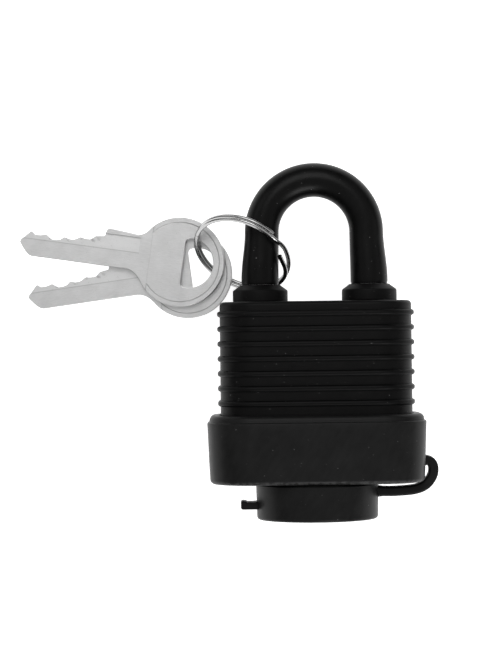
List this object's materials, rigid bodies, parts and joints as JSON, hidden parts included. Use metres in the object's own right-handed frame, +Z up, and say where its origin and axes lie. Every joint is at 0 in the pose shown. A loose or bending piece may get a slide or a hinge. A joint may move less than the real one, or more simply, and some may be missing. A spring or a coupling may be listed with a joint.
{
  "type": "padlock",
  "caption": "Weatherproof laminated padlock lying on its back, with a ribbed jacket, bumper, keyway cap and strap, sleeved shackle, split ring and two keys.",
  "frame": {"origin": "middle of the flat back of the bumper, on the surface the lock lies on", "axes": "+X to the right of the lock, away from the keys; +Y toward the bow of the shackle; +Z up, out of the front of the lock"},
  "size_m": [0.0948, 0.0802, 0.028],
  "materials": {
    "jacket_plastic": "satin black moulding",
    "bumper_plastic": "satin black moulding",
    "soft_rubber": "satin black soft plastic",
    "plate_steel": "stamped steel",
    "hard_steel": "hardened steel",
    "brass": "turned brass",
    "spring_steel": "bright wire",
    "nickel": "satin nickel plate",
    "chrome": "bright plated wire"
  },
  "bodies": {
    "lock_body": {"bottom_plate": "plate_steel", "inner_plate_1": "plate_steel", "inner_plate_2": "plate_steel", "inner_plate_3": "plate_steel", "inner_plate_4": "plate_steel", "inner_plate_5": "plate_steel", "inner_plate_6": "plate_steel", "inner_plate_7": "plate_steel", "inner_plate_8": "plate_steel", "lever_plate": "plate_steel", "inner_plate_9": "plate_steel", "top_plate": "plate_steel", "rivet_back_left": "plate_steel", "rivet_back_right": "plate_steel", "rivet_front_left": "plate_steel", "rivet_front_right": "plate_steel", "jacket": "jacket_plastic", "bumper": "bumper_plastic", "seal_left": "soft_rubber", "seal_right": "soft_rubber", "cap_strap": "bumper_plastic", "cylinder_shell": "brass", "chamber_cover": "brass", "driver_pin_1": "brass", "driver_pin_2": "brass", "driver_pin_3": "brass", "driver_pin_4": "brass", "pin_spring_1": "spring_steel", "pin_spring_2": "spring_steel", "pin_spring_3": "spring_steel", "pin_spring_4": "spring_steel", "shackle_spring": "spring_steel", "lever_spring": "spring_steel"},
    "shackle": {"shackle": "hard_steel", "shackle_sleeve": "soft_rubber"},
    "split_ring": {"split_ring": "chrome"},
    "front_key": {"front_key": "nickel"},
    "back_key": {"back_key": "nickel"},
    "plug": {"plug": "brass", "retaining_clip": "spring_steel", "cam": "hard_steel", "key_pin_1": "brass", "key_pin_2": "brass", "key_pin_3": "brass", "key_pin_4": "brass"},
    "heel_lever": {"heel_lever": "hard_steel"},
    "toe_lever": {"toe_lever": "hard_steel"},
    "cap": {"cap": "bumper_plastic"}
  },
  "joints": [
    {"name": "shackle_lift", "type": "slide", "parent": "lock_body", "child": "shackle", "axis": [0, 1, 0], "range_m": [0, 0.0162], "deforming": ["shackle_spring"]},
    {"name": "ring_swing", "type": "hinge", "parent": "shackle", "child": "split_ring", "pos_m": [-0.0123, 0.0444, 0.014], "axis": [0, 1, 0], "range_deg": [0, 90]},
    {"name": "front_key_swing", "type": "hinge", "parent": "split_ring", "child": "front_key", "pos_m": [-0.0261, 0.045, 0.006], "axis": [-0.0802, 0, 0.9968], "range_deg": [-18, 8]},
    {"name": "back_key_swing", "type": "hinge", "parent": "split_ring", "child": "back_key", "pos_m": [-0.02484, 0.0427, 0.0041], "axis": [-0.0802, 0, 0.9968], "range_deg": [-10, 10]},
    {"name": "plug_turn", "type": "hinge", "parent": "lock_body", "child": "plug", "pos_m": [0, -0.004, 0.0126], "axis": [0, 1, 0], "range_deg": [-90, 0], "deforming": ["lever_spring"]},
    {"name": "heel_lever_slide", "type": "slide", "parent": "lock_body", "child": "heel_lever", "axis": [-1, 0, 0], "range_m": [0, 0.0007], "deforming": ["lever_spring"]},
    {"name": "toe_lever_slide", "type": "slide", "parent": "lock_body", "child": "toe_lever", "axis": [1, 0, 0], "range_m": [0, 0.0016], "deforming": ["lever_spring"]},
    {"name": "cap_swing", "type": "hinge", "parent": "lock_body", "child": "cap", "pos_m": [0.0255, -0.008, 0.014], "axis": [0, 0, 1], "range_deg": [0, 110], "deforming": ["cap_strap"]}
  ],
  "couplings": [
    {"joint": "heel_lever_slide", "follows": "plug_turn", "m_per_rad": -0.000445},
    {"joint": "toe_lever_slide", "follows": "plug_turn", "m_per_rad": -0.001018}
  ]
}
